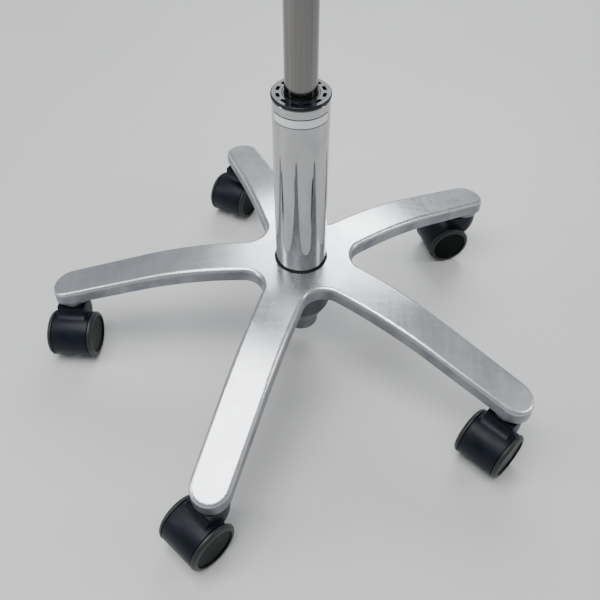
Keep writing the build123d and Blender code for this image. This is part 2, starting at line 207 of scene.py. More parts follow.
def round_ring(piece, radius, height, width, segments=3):
    """Bevels the ring of edges at one radius and height on a turned piece."""
    def on_ring(point):
        near = abs(math.hypot(point.x, point.y) - radius) < CLOSE_ENOUGH
        return near and abs(point.z - height) < CLOSE_ENOUGH
    if pick_edges(piece, on_ring):
        bpy.ops.mesh.bevel(offset=width, segments=segments, profile=0.5)
    close()


def settle(piece, body, node, material):
    """Puts a finished piece on its body in place of a frame node and material."""
    piece.data.materials.clear()
    piece.data.materials.append(material)
    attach(piece, body)
    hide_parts(node)
    print(piece.name, "faces", len(piece.data.polygons), "on", body)


print("helpers ready")

# %% [markdown]
# ## Materials
# Each finish is a small node tree on the Principled shader. The patterns read object coordinates,
# so they stay on the part when a joint moves. A helper adds a noise pattern and another turns a
# pattern into a range of values, because every finish needs both: metal is never equally bright or
# equally rough all over, and moulded plastic has a fine grain.

# %% Helpers for materials
def new_material(name, colour, metallic, roughness):
    """A material with its Principled shader set to plain values, which patterns may replace."""
    material = bpy.data.materials.new(name)
    material.use_nodes = True
    shader = material.node_tree.nodes["Principled BSDF"]
    shader.inputs["Base Color"].default_value = (*colour, 1)
    shader.inputs["Metallic"].default_value = metallic
    shader.inputs["Roughness"].default_value = roughness
    return material, shader


def add_node(material, kind, **inputs):
    """Adds a node and sets its inputs by name, with a line for each space in the name."""
    node = material.node_tree.nodes.new(kind)
    for key, value in inputs.items():
        node.inputs[key.replace("_", " ")].default_value = value
    return node


def link(material, source, target):
    """Joins an output socket to an input socket."""
    material.node_tree.links.new(source, target)


def coordinates(material, scale=(1, 1, 1)):
    """Object coordinates, stretched by a scale along each axis."""
    place = add_node(material, "ShaderNodeTexCoord")
    mapping = add_node(material, "ShaderNodeMapping", Scale=scale)
    link(material, place.outputs["Object"], mapping.inputs["Vector"])
    return mapping.outputs["Vector"]


def noise(material, scale, detail, stretch=(1, 1, 1), distortion=0.0):
    """A noise pattern on object coordinates. A stretch under 1 draws it out along that axis."""
    pattern = add_node(material, "ShaderNodeTexNoise", Scale=scale, Detail=detail,
                       Distortion=distortion)
    link(material, coordinates(material, stretch), pattern.inputs["Vector"])
    return pattern.outputs["Fac"]


def spread(material, value, low, high, out_low, out_high):
    """Maps a pattern between low and high to another range, and clamps it."""
    node = add_node(material, "ShaderNodeMapRange", From_Min=low, From_Max=high,
                    To_Min=out_low, To_Max=out_high)
    link(material, value, node.inputs["Value"])
    return node.outputs["Result"]


def blend_colours(material, factor, first, second):
    """Two colours, or a socket and a colour, mixed by a factor."""
    node = material.node_tree.nodes.new("ShaderNodeMix")
    node.data_type = "RGBA"
    link(material, factor, node.inputs["Factor"])
    for socket, colour in ((node.inputs["A"], first), (node.inputs["B"], second)):
        if isinstance(colour, tuple):
            socket.default_value = (*colour, 1)
        else:
            link(material, colour, socket)
    return node.outputs["Result"]


def arithmetic(material, operation, first, second):
    """One sum on two sockets, or on a socket and a number."""
    node = material.node_tree.nodes.new("ShaderNodeMath")
    node.operation = operation
    for socket, value in zip(node.inputs, (first, second)):
        if isinstance(value, float):
            socket.default_value = value
        else:
            link(material, value, socket)
    return node.outputs["Value"]


def bump(material, shader, height, distance, strength):
    """Feeds a height pattern to the shader's normal."""
    node = add_node(material, "ShaderNodeBump", Distance=distance, Strength=strength)
    link(material, height, node.inputs["Height"])
    link(material, node.outputs["Normal"], shader.inputs["Normal"])


print("material helpers ready")

# %% [markdown]
# ### The polished casting
# The star base is an aluminium casting that was polished by hand on its upper side. Its top is
# pale and satin, with wandering polishing marks and faint dull stains. Its side walls were only
# brushed over, so they are rougher, and their dark colour is painted shade from the light above. The boss under
# the hub is painted darker still, as shade under the hub.
# The normal's upward part tells top from wall, and the distance from the axis and the height find
# the boss under the hub, which gets painted shade, so one material serves the whole casting.

# %% Cast aluminium
CLEAN_TOP = ((0.72, 0.73, 0.75), (0.82, 0.83, 0.845))
STAIN = (0.60, 0.61, 0.63)
# Side-wall colours: painted shade, much darker than the top, as if the light from above missed the walls.
WALL_PAINTED_SHADE = ((0.20, 0.205, 0.225), (0.31, 0.315, 0.34))
# Painted shade: a near-black colour put on the boss under the hub, where the hub shades it.
BOSS_PAINTED_SHADE = (0.10, 0.10, 0.11)
BOSS_EDGE_R = (40 * MM, 46 * MM)
BOSS_EDGE_Z = (122 * MM, 134 * MM)


def cast_aluminium():
    material, shader = new_material("polished casting", (0.78, 0.79, 0.80), metallic=1.0,
                                    roughness=0.3)
    place = material.node_tree.nodes.new("ShaderNodeTexCoord")
    split = material.node_tree.nodes.new("ShaderNodeSeparateXYZ")
    link(material, place.outputs["Normal"], split.inputs["Vector"])
    top = spread(material, split.outputs["Z"], 0.10, 0.60, 0.0, 1.0)
    cloud = noise(material, scale=9.0, detail=5.0, distortion=0.5)
    patch = noise(material, scale=30.0, detail=3.0, distortion=0.5)
    marks = noise(material, scale=160.0, detail=3.0, stretch=(1.0, 0.15, 1.0), distortion=0.3)
    cross_marks = noise(material, scale=160.0, detail=3.0, stretch=(0.15, 1.0, 1.0), distortion=0.3)
    clean = blend_colours(material, spread(material, cloud, 0.35, 0.65, 0, 1), *CLEAN_TOP)
    stained = blend_colours(material, spread(material, patch, 0.50, 0.80, 0, 0.12), clean, STAIN)
    # Painted shade on the side walls, where the normal points sideways.
    wall = blend_colours(material, spread(material, patch, 0.35, 0.65, 0, 1), *WALL_PAINTED_SHADE)
    surface = blend_colours(material, top, wall, stained)
    position = material.node_tree.nodes.new("ShaderNodeSeparateXYZ")
    link(material, place.outputs["Object"], position.inputs["Vector"])
    flat = add_node(material, "ShaderNodeMapping", Scale=(1, 1, 0))
    link(material, place.outputs["Object"], flat.inputs["Vector"])
    radius = material.node_tree.nodes.new("ShaderNodeVectorMath")
    radius.operation = "LENGTH"
    link(material, flat.outputs["Vector"], radius.inputs[0])
    # Mask of the painted shade: near the axis and below the hub.
    near = spread(material, radius.outputs["Value"], *BOSS_EDGE_R, 1.0, 0.0)
    under = spread(material, position.outputs["Z"], *BOSS_EDGE_Z, 1.0, 0.0)
    boss = arithmetic(material, "MULTIPLY", near, under)
    link(material, blend_colours(material, boss, surface, BOSS_PAINTED_SHADE), shader.inputs["Base Color"])
    polish = spread(material, cloud, 0.3, 0.7, 0.26, 0.33)
    streaks = arithmetic(material, "ADD", marks, cross_marks)
    streaks = spread(material, streaks, 0.85, 1.15, -0.02, 0.02)
    dull = arithmetic(material, "MULTIPLY", spread(material, patch, 0.50, 0.80, 0.0, 0.04), top)
    wall_dull = spread(material, top, 0.0, 1.0, 0.14, 0.0)
    polish = arithmetic(material, "ADD", polish, streaks)
    dull = arithmetic(material, "ADD", dull, wall_dull)
    link(material, arithmetic(material, "ADD", polish, dull), shader.inputs["Roughness"])
    grain = noise(material, scale=420.0, detail=4.0)
    waves = noise(material, scale=18.0, detail=2.0)
    height = arithmetic(material, "ADD", arithmetic(material, "MULTIPLY", grain, 0.002), waves)
    bump(material, shader, height, distance=0.4 * MM, strength=0.30)
    return material


CAST = cast_aluminium()
print("made", CAST.name)

# %% [markdown]
# ### Plated and brushed metals
# The column is chrome plate, which is a mirror with faint wiping marks. The pole and the rod are
# stainless tube that was brushed along its length, so its grain runs up the tube: a noise that is
# stretched a hundred times along Z makes such streaks. Small steel parts share a duller finish.

# %% Chrome, stainless and steel
def chrome():
    material, shader = new_material("chrome plate", (0.78, 0.785, 0.79), metallic=1.0,
                                    roughness=0.05)
    smudge = noise(material, scale=30.0, detail=6.0, stretch=(1, 1, 0.35), distortion=0.8)
    link(material, spread(material, smudge, 0.4, 0.72, 0.025, 0.11), shader.inputs["Roughness"])
    clear, dim = (0.50, 0.50, 0.505), (0.41, 0.41, 0.415)
    tint = blend_colours(material, spread(material, smudge, 0.3, 0.7, 0, 1), clear, dim)
    link(material, tint, shader.inputs["Base Color"])
    wipes = noise(material, scale=900.0, detail=2.0, stretch=(1, 1, 0.02))
    bump(material, shader, wipes, distance=0.02 * MM, strength=0.3)
    return material


def stainless():
    material, shader = new_material("brushed stainless", (0.42, 0.41, 0.40), metallic=1.0,
                                    roughness=0.2)
    streak = noise(material, scale=900.0, detail=3.0, stretch=(1, 1, 0.006))
    cloud = noise(material, scale=12.0, detail=5.0, stretch=(1, 1, 0.3))
    link(material, spread(material, streak, 0.3, 0.7, 0.10, 0.22), shader.inputs["Roughness"])
    streaky = arithmetic(material, "MULTIPLY", streak, 0.6)
    tone = arithmetic(material, "ADD", streaky, arithmetic(material, "MULTIPLY", cloud, 0.4))
    dark, pale = (0.17, 0.165, 0.16), (0.25, 0.242, 0.236)
    tint = blend_colours(material, spread(material, tone, 0.35, 0.65, 0, 1), dark, pale)
    link(material, tint, shader.inputs["Base Color"])
    bump(material, shader, streak, distance=0.01 * MM, strength=0.15)
    return material


def steel(name, colour, rough, scale=160.0):
    """A duller metal: zinc plate, dark castings and turned steel differ in colour and roughness."""
    material, shader = new_material(name, colour, metallic=1.0, roughness=rough)
    speckle = noise(material, scale, detail=6.0, distortion=0.4)
    dark = tuple(channel * 0.72 for channel in colour)
    tint = blend_colours(material, spread(material, speckle, 0.38, 0.68, 0, 1), colour, dark)
    link(material, tint, shader.inputs["Base Color"])
    dull = spread(material, speckle, 0.35, 0.7, rough * 0.8, rough * 1.5)
    link(material, dull, shader.inputs["Roughness"])
    grain = noise(material, scale * 2, detail=2.0)
    bump(material, shader, grain, distance=0.02 * MM, strength=0.15)
    return material


LINE_WIDTH = 1.0 * MM
LINE_BLUR = 0.2 * MM


def foil():
    """A white film with a fine crinkle and a thin grey line printed along its two long edges."""
    low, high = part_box("column_label")
    middle, half = (low.z + high.z) / 2, (high.z - low.z) / 2
    material, shader = new_material("blank foil", (0.9, 0.9, 0.9), metallic=0.1, roughness=0.3)
    crinkle = noise(material, scale=700.0, detail=6.0, distortion=0.8)
    white, shade = (0.95, 0.95, 0.95), (0.80, 0.81, 0.82)
    paper = blend_colours(material, spread(material, crinkle, 0.4, 0.62, 0, 1), white, shade)
    height = add_node(material, "ShaderNodeSeparateXYZ")
    link(material, coordinates(material), height.inputs["Vector"])
    offset = arithmetic(material, "SUBTRACT", height.outputs["Z"], middle)
    offset = arithmetic(material, "ABSOLUTE", offset, 0.0)
    inside = half - LINE_WIDTH
    line = spread(material, offset, inside - LINE_BLUR, inside, 0.0, 1.0)
    ink = (0.05, 0.05, 0.055)
    link(material, blend_colours(material, line, paper, ink), shader.inputs["Base Color"])
    bump(material, shader, crinkle, distance=0.2 * MM, strength=0.5)
    return material


CHROME = chrome()
STAINLESS = stainless()
ZINC = steel("zinc plate", (0.60, 0.60, 0.62), rough=0.32)
BRIGHT = steel("bright steel", (0.74, 0.74, 0.75), rough=0.14)
DARK_CAST = steel("dark casting", (0.20, 0.20, 0.215), rough=0.42, scale=90.0)
FOIL = foil()
print("made", CHROME.name, STAINLESS.name, ZINC.name, BRIGHT.name, DARK_CAST.name, FOIL.name)

# %% [markdown]
# ### Moulded plastics and rubber
# The collar, the castors and the knob are black mouldings. Black plastic is dark grey rather than
# pure black; the blue in the collar's and the hoods' colours is a painted reflection of the pale sky.
# What shows black plastic is its grain, its sheen and the paler scuffs where it has been kicked and
# wiped. One function makes them all, with its own colour, gloss and amount of wear. The wheels also
# carry an attribute that marks their tread and rim, which roll on the floor and so are greyer and
# duller than their faces.

# %% Plastics
SCUFF = (0.10, 0.105, 0.11)
WORN_TREAD = (0.020, 0.022, 0.023)
TREAD_SHEEN = 0.4
TREAD_DULLER = 0.12


def moulded(name, colour, rough, wear, sheen=0.25, tread=False):
    material, shader = new_material(name, colour, metallic=0.0, roughness=rough)
    shader.inputs["Specular IOR Level"].default_value = sheen
    cloud = noise(material, scale=45.0, detail=6.0, distortion=0.5)
    scuff = noise(material, scale=260.0, detail=8.0, stretch=(1.0, 1.0, 0.25), distortion=1.5)
    paler = tuple(channel * 1.6 + 0.003 for channel in colour)
    tone = blend_colours(material, spread(material, cloud, 0.35, 0.7, 0.0, 0.6), colour, paler)
    worn = blend_colours(material, spread(material, scuff, 0.62, 0.82, 0.0, wear), tone, SCUFF)
    dull = spread(material, cloud, 0.3, 0.7, rough * 0.85, rough * 1.25)
    if tread:
        mark = material.node_tree.nodes.new("ShaderNodeAttribute")
        mark.attribute_name = "tread"
        rim = mark.outputs["Fac"]
        worn = blend_colours(material, rim, worn, WORN_TREAD)
        gloss = spread(material, rim, 0, 1, sheen, TREAD_SHEEN)
        link(material, gloss, shader.inputs["Specular IOR Level"])
        dull = arithmetic(material, "ADD", dull, spread(material, rim, 0, 1, 0, TREAD_DULLER))
    link(material, worn, shader.inputs["Base Color"])
    link(material, dull, shader.inputs["Roughness"])
    grain = noise(material, scale=500.0, detail=3.0)
    bump(material, shader, grain, distance=0.04 * MM, strength=0.3)
    return material


# The blue in this black colour is a painted reflection of the pale sky.
COLLAR_BLACK_PAINTED_SKY = moulded("collar moulding", (0.004, 0.006, 0.012), rough=0.24, wear=0.03, sheen=0.30)
# The blue in the hoods' black colour is a painted reflection of the pale sky.
HOOD_BLACK_PAINTED_SKY = moulded("hood nylon", (0.002, 0.004, 0.009), rough=0.40, wear=0.05, sheen=0.22)
WHEEL_BLACK = moulded("wheel nylon", (0.0015, 0.002, 0.0025), rough=0.30, wear=0.02, sheen=0.06,
                      tread=True)
KNOB_BLACK = moulded("knob moulding", (0.010, 0.010, 0.012), rough=0.38, wear=0.06)
ACETAL = moulded("dark acetal", (0.006, 0.006, 0.008), rough=0.30, wear=0.03)
RUBBER = moulded("black rubber", (0.004, 0.004, 0.005), rough=0.60, wear=0.03)
BLACK_PAINT = moulded("black paint", (0.010, 0.010, 0.011), rough=0.30, wear=0.05)
print("made", COLLAR_BLACK_PAINTED_SKY.name, HOOD_BLACK_PAINTED_SKY.name, WHEEL_BLACK.name, KNOB_BLACK.name)

# %% [markdown]
# ### Finishes for the frame's own nodes
# Nodes whose shape is already right keep their mesh. They only get a finish, chosen by the slot
# that the record gives them.

# %% Dress the frame's nodes
BY_SLOT = {
    "cast_aluminium": CAST, "chrome_tube": CHROME, "satin_stainless": STAINLESS,
    "black_collar": COLLAR_BLACK_PAINTED_SKY, "dark_acetal": ACETAL, "black_rubber": RUBBER,
    "foil_label": FOIL, "dark_casting": DARK_CAST, "zinc_steel": ZINC,
    "black_steel": BLACK_PAINT, "bright_steel": BRIGHT, "black_knob": KNOB_BLACK,
    "castor_nylon": HOOD_BLACK_PAINTED_SKY, "wheel_nylon": WHEEL_BLACK,
}
for part in frame["record"]["subparts"]:
    mesh = nodes[part["node"]].data
    mesh.materials.clear()
    mesh.materials.append(BY_SLOT[part["material_slot"]])

# %% [markdown]
# ## The column's tube
# The tube is drawn steel with a bright mouth. It is a body of revolution, so its wall is drawn as a
# small outline and spun about the axis. The rings at the mouth then get a bevel, because a sharp
# edge on a mirror would never catch the light.

# %% Column tube
tube_low, tube_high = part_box("column_tube")
TUBE_R = tube_high.x
TUBE_WALL = 2.5 * MM
TUBE_BORE = TUBE_R - TUBE_WALL
MOUTH_ROUND = 1.6 * MM
BORE_ROUND = 0.6 * MM


def column_tube():
    low, top = tube_low.z, tube_high.z
    outline = [(TUBE_BORE, low), (TUBE_R, low), (TUBE_R, top), (TUBE_BORE, top)]
    piece = turned("chromed_column", outline, steps=256)
    round_ring(piece, TUBE_R, top, MOUTH_ROUND, segments=6)
    round_ring(piece, TUBE_BORE, top, BORE_ROUND)
    return finish_mesh(piece)


settle(column_tube(), "base", "column_tube", CHROME)

# %% [markdown]
# ## The rubber seal at the hub
# A thin lip of rubber closes the gap where the tube enters the casting. It is round where it leaves
# the tube and flat where it sits on the hub, so it is spun from a flat outline and its outer ring
# is rounded.

# %% Column seal
seal_low, seal_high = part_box("column_seal")
SEAL_SLOPE = 0.5 * MM
SEAL_ROUND = 0.7 * MM


def column_seal():
    low, top, outer = seal_low.z, seal_high.z, seal_high.x
    mouth, edge = TUBE_R + FIT, outer - SEAL_SLOPE
    piece = turned("hub_seal", [(mouth, low), (outer, low), (edge, top), (mouth, top)], steps=192)
    round_ring(piece, edge, top, SEAL_ROUND, segments=4)
    return finish_mesh(piece, angle=50)


settle(column_seal(), "base", "column_seal", RUBBER)

# %% [markdown]
# ## The collar
# The black collar closes the column's mouth. Its flange overhangs the tube a little, and a ring of
# short curved pockets runs round it, because a thick moulding is cored out to cool evenly. The
# number of steps of the spin is a multiple of the number of pockets, so each pocket is a whole
# number of faces, pushed in together. The bearing inside the collar is a ring of its own.

# %% Column collar
collar_low, collar_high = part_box("column_collar")
bush_low, bush_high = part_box("guide_bush_upper")
pole_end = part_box("inner_pole")[1]
POLE_R = pole_end.x
COLLAR_BORE = bush_high.x + FIT
POCKETS = 12
STEPS_PER_POCKET = 20
POCKET_MARGIN = 0.2
POCKET_IN = 22.3 * MM
POCKET_OUT = 26.1 * MM
POCKET_DEPTH = 2.2 * MM
POCKET_ROUND = 0.2 * MM
FLANGE_ROUND = 1.3 * MM
FLANGE_BACK_ROUND = 0.5 * MM
COLLAR_BORE_ROUND = 0.35 * MM
BUSH_MOUTH_ROUND = 0.9 * MM
BUSH_EDGE_ROUND = 0.3 * MM


def column_collar():
    flange, top, outer = tube_high.z, collar_high.z, collar_high.x
    skirt = TUBE_BORE - FIT
    outline = [
        (COLLAR_BORE, collar_low.z), (skirt, collar_low.z), (skirt, flange), (outer, flange),
        (outer, top), (POCKET_OUT, top), (POCKET_IN, top), (COLLAR_BORE, top),
    ]
    piece = turned("column_collar_ring", outline, POCKETS * STEPS_PER_POCKET)
    round_ring(piece, outer, top, FLANGE_ROUND, segments=6)
    round_ring(piece, outer, flange, FLANGE_BACK_ROUND)
    round_ring(piece, COLLAR_BORE, top, COLLAR_BORE_ROUND)
    pitch = ALL_ROUND / POCKETS

    def in_pocket(centre, normal):
        radius = math.hypot(centre.x, centre.y)
        turn = (math.atan2(centre.y, centre.x) % pitch) / pitch
        between = POCKET_MARGIN < turn < 1 - POCKET_MARGIN
        return normal.z > FACING and POCKET_IN < radius < POCKET_OUT and between

    count = pick_faces(piece, in_pocket)
    bpy.ops.mesh.inset(thickness=POCKET_ROUND, depth=-POCKET_ROUND)
    extrude(-POCKET_DEPTH)
    close()
    print("pocket faces", count)
    return finish_mesh(piece)


def guide_bush():
    bore, outer, low, top = POLE_R + FIT, bush_high.x, bush_low.z, bush_high.z
    outline = [(bore, low), (outer, low), (outer, top), (bore, top)]
    piece = turned("pole_bearing", outline, steps=192)
    round_ring(piece, bore, top, BUSH_MOUTH_ROUND, segments=4)
    round_ring(piece, outer, top, BUSH_EDGE_ROUND)
    return finish_mesh(piece)


settle(column_collar(), "base", "column_collar", COLLAR_BLACK_PAINTED_SKY)
settle(guide_bush(), "base", "guide_bush_upper", ACETAL)

# %% [markdown]
# ## The blank label
# A band of thin foil wraps the front of the tube under its mouth. It is left blank, with a raised
# border pressed into it. It starts as a full ring, and two cuts through the axis leave the front.

# %% Column label
label_low, label_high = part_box("column_label")
LABEL_HALF_ANGLE = math.radians(62)
FRONT = math.pi * 1.5
LABEL_GAP = 0.04 * MM
LABEL_SKIN = 0.2 * MM
BORDER = 1.0 * MM
BORDER_SLOPE = 0.1 * MM
BORDER_HEIGHT = 0.08 * MM


def column_label():
    low, top = label_low.z, label_high.z
    inner, outer = TUBE_R + LABEL_GAP, TUBE_R + LABEL_SKIN
    outline = [
        (inner, low), (outer, low), (outer, low + BORDER), (outer, top - BORDER), (outer, top),
        (inner, top),
    ]
    piece = turned("label_band", outline, steps=240)

    def in_field(centre, normal):
        outside = math.hypot(centre.x, centre.y) > (TUBE_R + outer) / 2
        return outside and abs(centre.z - (low + top) / 2) < BORDER

    print("label faces", pick_faces(piece, in_field))
    bpy.ops.mesh.inset(thickness=BORDER_SLOPE, depth=-BORDER_HEIGHT)
    close()
    for side in (-1, 1):
        edge = FRONT + side * LABEL_HALF_ANGLE
        keep_above(piece, (0, 0, 0), (side * math.sin(edge), -side * math.cos(edge), 0))
    return finish_mesh(piece)


settle(column_label(), "base", "column_label", FOIL)

# %% [markdown]
# ## Where each castor stands
# The record's joints say where each castor's stem and axle are and which way the axle points. They
# give one matrix for each castor, which carries a piece that was modelled with its stem on the Z
# axis and its axle towards +X to its place under its leg.

# %% Castor places
CASTORS = range(1, 6)


def castor_matrix(number):
    """Carries a piece from the origin to its place on one castor."""
    stem = Vector(joints[f"castor_{number}_swivel"]["pos_m"])
    axle = Vector(joints[f"castor_{number}_left_spin"]["pos_m"])
    along = Vector((axle.x - stem.x, axle.y - stem.y, 0)).normalized()
    turn = Matrix.Rotation(math.atan2(along.y, along.x), 4, "Z")
    return Matrix.Translation((stem.x, stem.y, 0)) @ turn


first_stem = Vector(joints["castor_1_swivel"]["pos_m"])
first_axle = Vector(joints["castor_1_left_spin"]["pos_m"])
TRAIL = math.hypot(first_axle.x - first_stem.x, first_axle.y - first_stem.y)
WHEEL_R = first_axle.z
CASTOR_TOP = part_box("castor_1_hood")[1].z
print("trail", round(TRAIL, 4), "wheel radius", round(WHEEL_R, 4))
print("castor top", round(CASTOR_TOP, 4))

# %% [markdown]
# ## The castor's wheels
# Each castor has two thin wheels that turn on one axle. A wheel is a disc with a fat rounded rim
# and a dished face, and behind it a narrower drum that runs under the hood. It is spun from its
# outline and its corners are rounded afterwards. Its vertices past the dish get the tread
# attribute, which the wheels' plastic reads. One wheel is modelled, and every other is a copy of
# its mesh, turned to the castor's side.

# %% Castor wheels
WHEEL_OUT = 29.2 * MM
WHEEL_IN = 23.6 * MM
DRUM_R = 24.5 * MM
DRUM_IN = 4.2 * MM
DISH_R = 24.4 * MM
DISH_SLOPE = 0.9 * MM
DISH_DEPTH = 1.6 * MM
DISH_MIDDLE_DEPTH = 1.9 * MM
BORE_R = 3.05 * MM
BORE_END = 23.4 * MM
TREAD_R = 24.2 * MM
RIM_ROUND = 4.4 * MM
RIM_BACK_ROUND = 0.8 * MM
DISH_ROUND = 0.6 * MM


def castor_wheel():
    outline = [
        (BORE_R, DRUM_IN), (DRUM_R, DRUM_IN), (DRUM_R, WHEEL_IN), (WHEEL_R, WHEEL_IN),
        (WHEEL_R, WHEEL_OUT), (DISH_R, WHEEL_OUT), (DISH_R - DISH_SLOPE, WHEEL_OUT - DISH_DEPTH),
        (0, WHEEL_OUT - DISH_MIDDLE_DEPTH), (0, BORE_END), (BORE_R, BORE_END),
    ]
    piece = turned("castor_wheel", outline)
    round_ring(piece, WHEEL_R, WHEEL_OUT, RIM_ROUND, segments=8)
    round_ring(piece, WHEEL_R, WHEEL_IN, RIM_BACK_ROUND)
    round_ring(piece, DISH_R, WHEEL_OUT, DISH_ROUND)
    finish_mesh(piece)
    tread = piece.data.attributes.new("tread", "FLOAT", "POINT")
    for vertex, mark in zip(piece.data.vertices, tread.data):
        mark.value = float(math.hypot(vertex.co.x, vertex.co.y) > TREAD_R)
    return piece


wheel = castor_wheel()
for number in CASTORS:
    for side, sign in (("left", -1), ("right", 1)):
        turn = Matrix.Rotation(sign * math.pi / 2, 4, "X")
        place = castor_matrix(number) @ Matrix.Translation((TRAIL, 0, WHEEL_R)) @ turn
        twin = copy_piece(wheel, f"wheel_{number}_{side}", place)
        node = f"castor_{number}_wheel_{side}"
        settle(twin, f"castor_{number}_{side}", node, WHEEL_BLACK)
bpy.data.objects.remove(wheel)

# %% [markdown]
# ## The castor's hood
# The hood is the moulding that holds everything: a drum over the wheels, a round-fronted neck that
# carries the stem, and a saddle where the neck runs down on to the drum. It is built from a
# cylinder and a block, joined by a Boolean. The saddle is cut by a second cylinder that touches the
# drum's top, so the two surfaces meet smoothly. Planes cut off the drum's lower part, where the
# wheels come out, and the neck's lower corner. All edges are then rounded, and the wheel wells are
# cut last, so that their rims stay thin.

# %% Castor hood
HOOD_R = 29.5 * MM
HOOD_HALF = 22.6 * MM
WEB_HALF = 3.6 * MM
WELL_R = 26.7 * MM
SADDLE_R = 12.0 * MM
SADDLE_X = 5.0 * MM
SADDLE_HALF = 30.0 * MM
NECK_HALF = 17.5 * MM
NECK_FLAT = 0.2 * MM
LIP = (46 * MM, 0, 9 * MM)
LIP_NORMAL = (12, 0, 32)
NECK_CORNER = (-NECK_HALF, 0, 61 * MM)
NECK_NORMAL = (34, 0, 21)
HOOD_ROUND = 1.5 * MM


def across(name, radius, low, high, x, z):
    """A cylinder whose axis lies across the castor, between two distances from its middle."""
    return start(name, bpy.ops.mesh.primitive_cylinder_add, vertices=128, radius=radius,
                 depth=high - low, location=(x, (low + high) / 2, z),
                 rotation=(math.pi / 2, 0, 0))


def castor_hood():
    hood = across("castor_hood", HOOD_R, -HOOD_HALF, HOOD_HALF, TRAIL, WHEEL_R)
    keep_above(hood, LIP, (0, 0, 1))
    keep_above(hood, LIP, LIP_NORMAL)
    reach = TRAIL + HOOD_R * SADDLE_X / (HOOD_R + SADDLE_R)
    size = (reach + NECK_HALF, 2 * NECK_HALF, CASTOR_TOP - WHEEL_R)
    neck = start("castor_neck", bpy.ops.mesh.primitive_cube_add, size=1.0, scale=size,
                 location=((reach - NECK_HALF) / 2, 0, (CASTOR_TOP + WHEEL_R) / 2))
    edit(neck, "EDGE")
    close()
    for line in neck.data.edges:
        ends = [neck.data.vertices[index].co for index in line.vertices]
        upright = abs(ends[0].z - ends[1].z) > MM
        line.select = upright and all(end.x < 0 for end in ends)
    bpy.ops.object.mode_set(mode="EDIT")
    bpy.ops.mesh.bevel(offset=NECK_HALF - NECK_FLAT, segments=20, profile=0.5)
    close()
    keep_above(neck, NECK_CORNER, NECK_NORMAL)
    saddle_z = WHEEL_R + math.sqrt((HOOD_R + SADDLE_R) ** 2 - SADDLE_X**2)
    saddle = across("saddle", SADDLE_R, -SADDLE_HALF, SADDLE_HALF, TRAIL + SADDLE_X, saddle_z)
    combine(neck, saddle, "DIFFERENCE")
    combine(hood, neck, "UNION")
    apply(hood, "BEVEL", width=HOOD_ROUND, segments=4, limit_method="ANGLE",
          angle_limit=math.radians(38))
    for low, high in ((-HOOD_HALF - MM, -WEB_HALF), (WEB_HALF, HOOD_HALF + MM)):
        combine(hood, across("well", WELL_R, low, high, TRAIL, WHEEL_R), "DIFFERENCE")
    return finish_mesh(hood, angle=40)


hood = castor_hood()
for number in CASTORS:
    twin = copy_piece(hood, f"hood_{number}", castor_matrix(number))
    settle(twin, f"castor_{number}", f"castor_{number}_hood", HOOD_BLACK_PAINTED_SKY)
bpy.data.objects.remove(hood)

# %% [markdown]
# ## The clamp collar on the pole
# The clamp is a moulding on the pole's end that grips the rod. It swells downwards over the pole,
# has three shallow grip grooves and carries a boss for the knob's stud. The body is spun, the boss
# is a cylinder joined on by a Boolean, and a bevel rounds every edge in one go.

# %% Clamp collar
clamp_low, clamp_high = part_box("clamp_collar")
stud = Vector(joints["knob_turn"]["pos_m"])
ROD_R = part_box("upper_rod")[1].x
POLE_TOP = pole_end.z
CLAMP_R = clamp_high.y
CLAMP_MOUTH_R = 15.5 * MM
CLAMP_NECK_R = 18.0 * MM
CLAMP_SHOULDER_R = 22.0 * MM
CLAMP_SHOULDER_Z = 876 * MM
CLAMP_HEM_R = 21.0 * MM
CLAMP_SLOPE = 3 * MM
BOSS_R = 9.0 * MM
BOSS_START = 14.0 * MM
BOSS_END = 31.0 * MM
GROOVE = 0.8 * MM
GROOVE_EDGE_R = CLAMP_R - 0.3 * MM
GROOVE_FLOOR_R = CLAMP_R - GROOVE - 0.2 * MM
GROOVE_HEIGHTS = (866 * MM, 861 * MM, 856 * MM)
CLAMP_ROUND = 0.7 * MM


def clamp_collar():
    low, top = clamp_low.z, clamp_high.z
    rod_bore, pole_bore = ROD_R + FIT, POLE_R + FIT
    outline = [
        (rod_bore, POLE_TOP), (rod_bore, top), (CLAMP_MOUTH_R, top),
        (CLAMP_NECK_R, top - CLAMP_SLOPE), (CLAMP_SHOULDER_R, CLAMP_SHOULDER_Z),
    ]
    for height in GROOVE_HEIGHTS:
        outline += [
            (GROOVE_EDGE_R, height + GROOVE), (GROOVE_FLOOR_R, height),
            (GROOVE_EDGE_R, height - GROOVE),
        ]
    outline += [
        (CLAMP_R, low + CLAMP_SLOPE), (CLAMP_HEM_R, low), (pole_bore, low), (pole_bore, POLE_TOP),
    ]
    piece = turned("clamp_moulding", outline)
    boss = start("clamp_boss", bpy.ops.mesh.primitive_cylinder_add, vertices=64, radius=BOSS_R,
                 depth=BOSS_END - BOSS_START, location=((BOSS_END + BOSS_START) / 2, 0, stud.z),
                 rotation=(0, math.pi / 2, 0))
    combine(piece, boss, "UNION")
    apply(piece, "BEVEL", width=CLAMP_ROUND, segments=3, limit_method="ANGLE",
          angle_limit=math.radians(32))
    return finish_mesh(piece, angle=40)


settle(clamp_collar(), "pole", "clamp_collar", COLLAR_BLACK_PAINTED_SKY)

# %% [markdown]
# ## The lobed knob
# The knob starts as a cylinder. Its rim vertices move in and out by a cosine with five waves, which
# gives five lobes, and the rims are rounded. A round recess is then cut into its top, and a cap
# that is a little smaller closes it, as on a real knob where the cap hides the stud's insert.

# %% Lock knob
KNOB_MEAN_R = 16.9 * MM
KNOB_WAVE = 2.4 * MM
KNOB_HEIGHT = 15.0 * MM
KNOB_ROUND = 2.2 * MM
LOBES = 5
RECESS_R = 9.6 * MM
RECESS_DEPTH = 0.9 * MM
CAP_R = 8.9 * MM
CAP_DEPTH = 2 * MM
CAP_BELOW_TOP = 0.1 * MM
CAP_ROUND = 0.5 * MM
KNOB_NECK_R = 8.0 * MM
KNOB_NECK_LENGTH = 3.0 * MM


